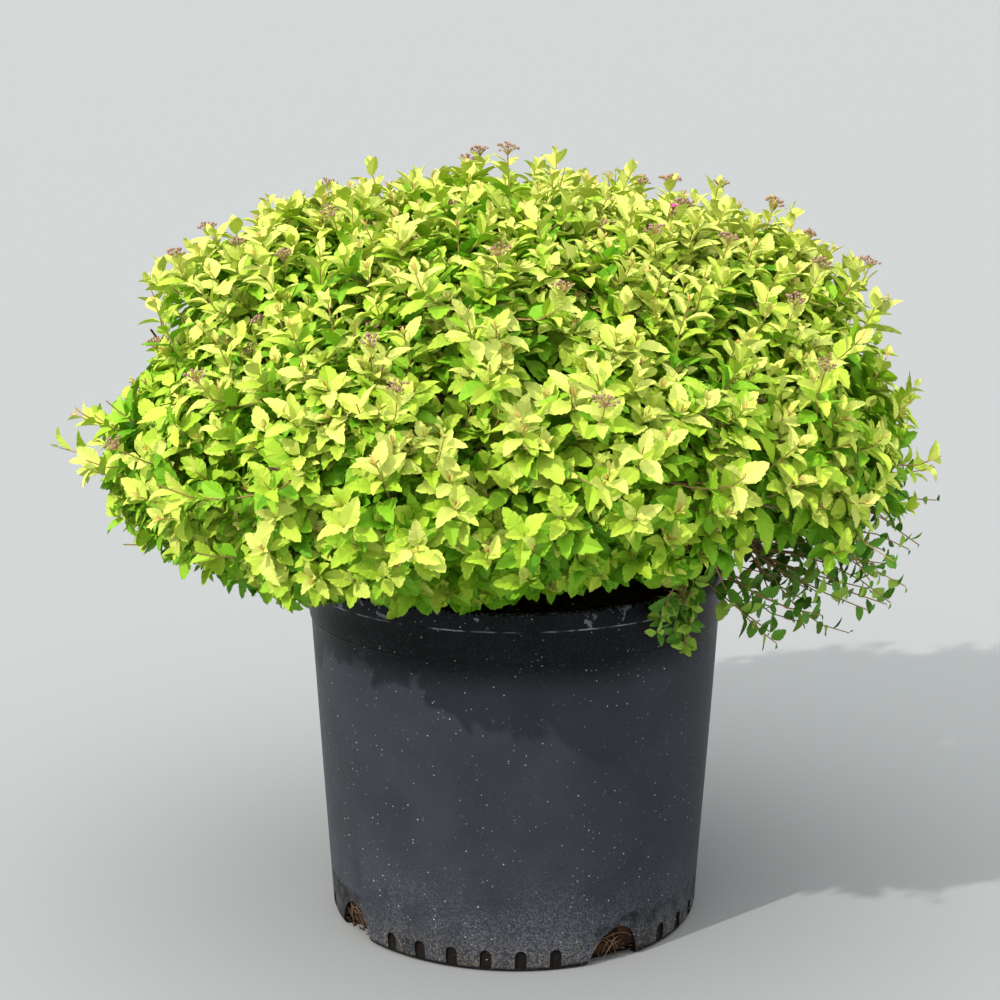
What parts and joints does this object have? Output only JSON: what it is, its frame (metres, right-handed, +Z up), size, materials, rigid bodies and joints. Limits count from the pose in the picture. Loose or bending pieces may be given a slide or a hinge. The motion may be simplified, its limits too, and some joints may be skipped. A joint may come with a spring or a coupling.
{
  "type": "potted spirea shrub",
  "caption": "Low mounded golden spirea shrub with serrate leaves and flat bud heads, growing in a tapered black nursery container.",
  "frame": {"origin": "middle of the container's flat underside", "axes": "+Z up the plant, -Y towards the front, +X to the right seen from the front"},
  "size_m": [0.5923, 0.5863, 0.5237],
  "materials": {
    "pot_plastic": "black blow-moulded polyethylene, satin, dusty and scuffed",
    "potting_mix": "damp pine-bark potting mix",
    "bark": "thin brown bark",
    "shoots": "young reddish-tan shoots",
    "leaf_gold": "golden-yellow young leaf, satin",
    "leaf_lime": "lime-green leaf, satin",
    "leaf_green": "mid-green leaf, satin",
    "leaf_deep": "deep green inner leaf",
    "leaf_blush": "peach-tinted newest leaf",
    "flower_buds": "dusty pink-brown closed buds",
    "petals": "magenta petals"
  },
  "bodies": {
    "root": {"nursery_pot": "pot_plastic", "potting_mix": "potting_mix", "woody_stem": "bark", "bough_top": "bark", "bough_upper_1": "bark", "bough_upper_2": "bark", "bough_upper_3": "bark", "bough_upper_4": "bark", "bough_upper_5": "bark", "bough_side_1": "bark", "bough_side_2": "bark", "bough_side_3": "bark", "bough_side_4": "bark", "bough_side_5": "bark", "bough_side_6": "bark", "bough_side_7": "bark", "bough_side_8": "bark", "bough_skirt_1": "bark", "bough_skirt_2": "bark", "bough_skirt_3": "bark", "bough_skirt_4": "bark", "bough_skirt_5": "bark", "bough_spray_1": "bark", "bough_spray_2": "bark", "foliage_top": "leaf_gold", "foliage_upper_1": "leaf_gold", "foliage_upper_2": "leaf_gold", "foliage_upper_3": "leaf_gold", "foliage_upper_4": "leaf_gold", "foliage_upper_5": "leaf_gold", "foliage_side_1": "leaf_lime", "foliage_side_2": "leaf_lime", "foliage_side_3": "leaf_lime", "foliage_side_4": "leaf_lime", "foliage_side_5": "leaf_lime", "foliage_side_6": "leaf_lime", "foliage_side_7": "leaf_lime", "foliage_side_8": "leaf_lime", "foliage_skirt_1": "leaf_green", "foliage_skirt_2": "leaf_green", "foliage_skirt_3": "leaf_green", "foliage_skirt_4": "leaf_green", "foliage_skirt_5": "leaf_green", "foliage_spray_1": "leaf_green", "foliage_spray_2": "leaf_green"}
  },
  "joints": []
}
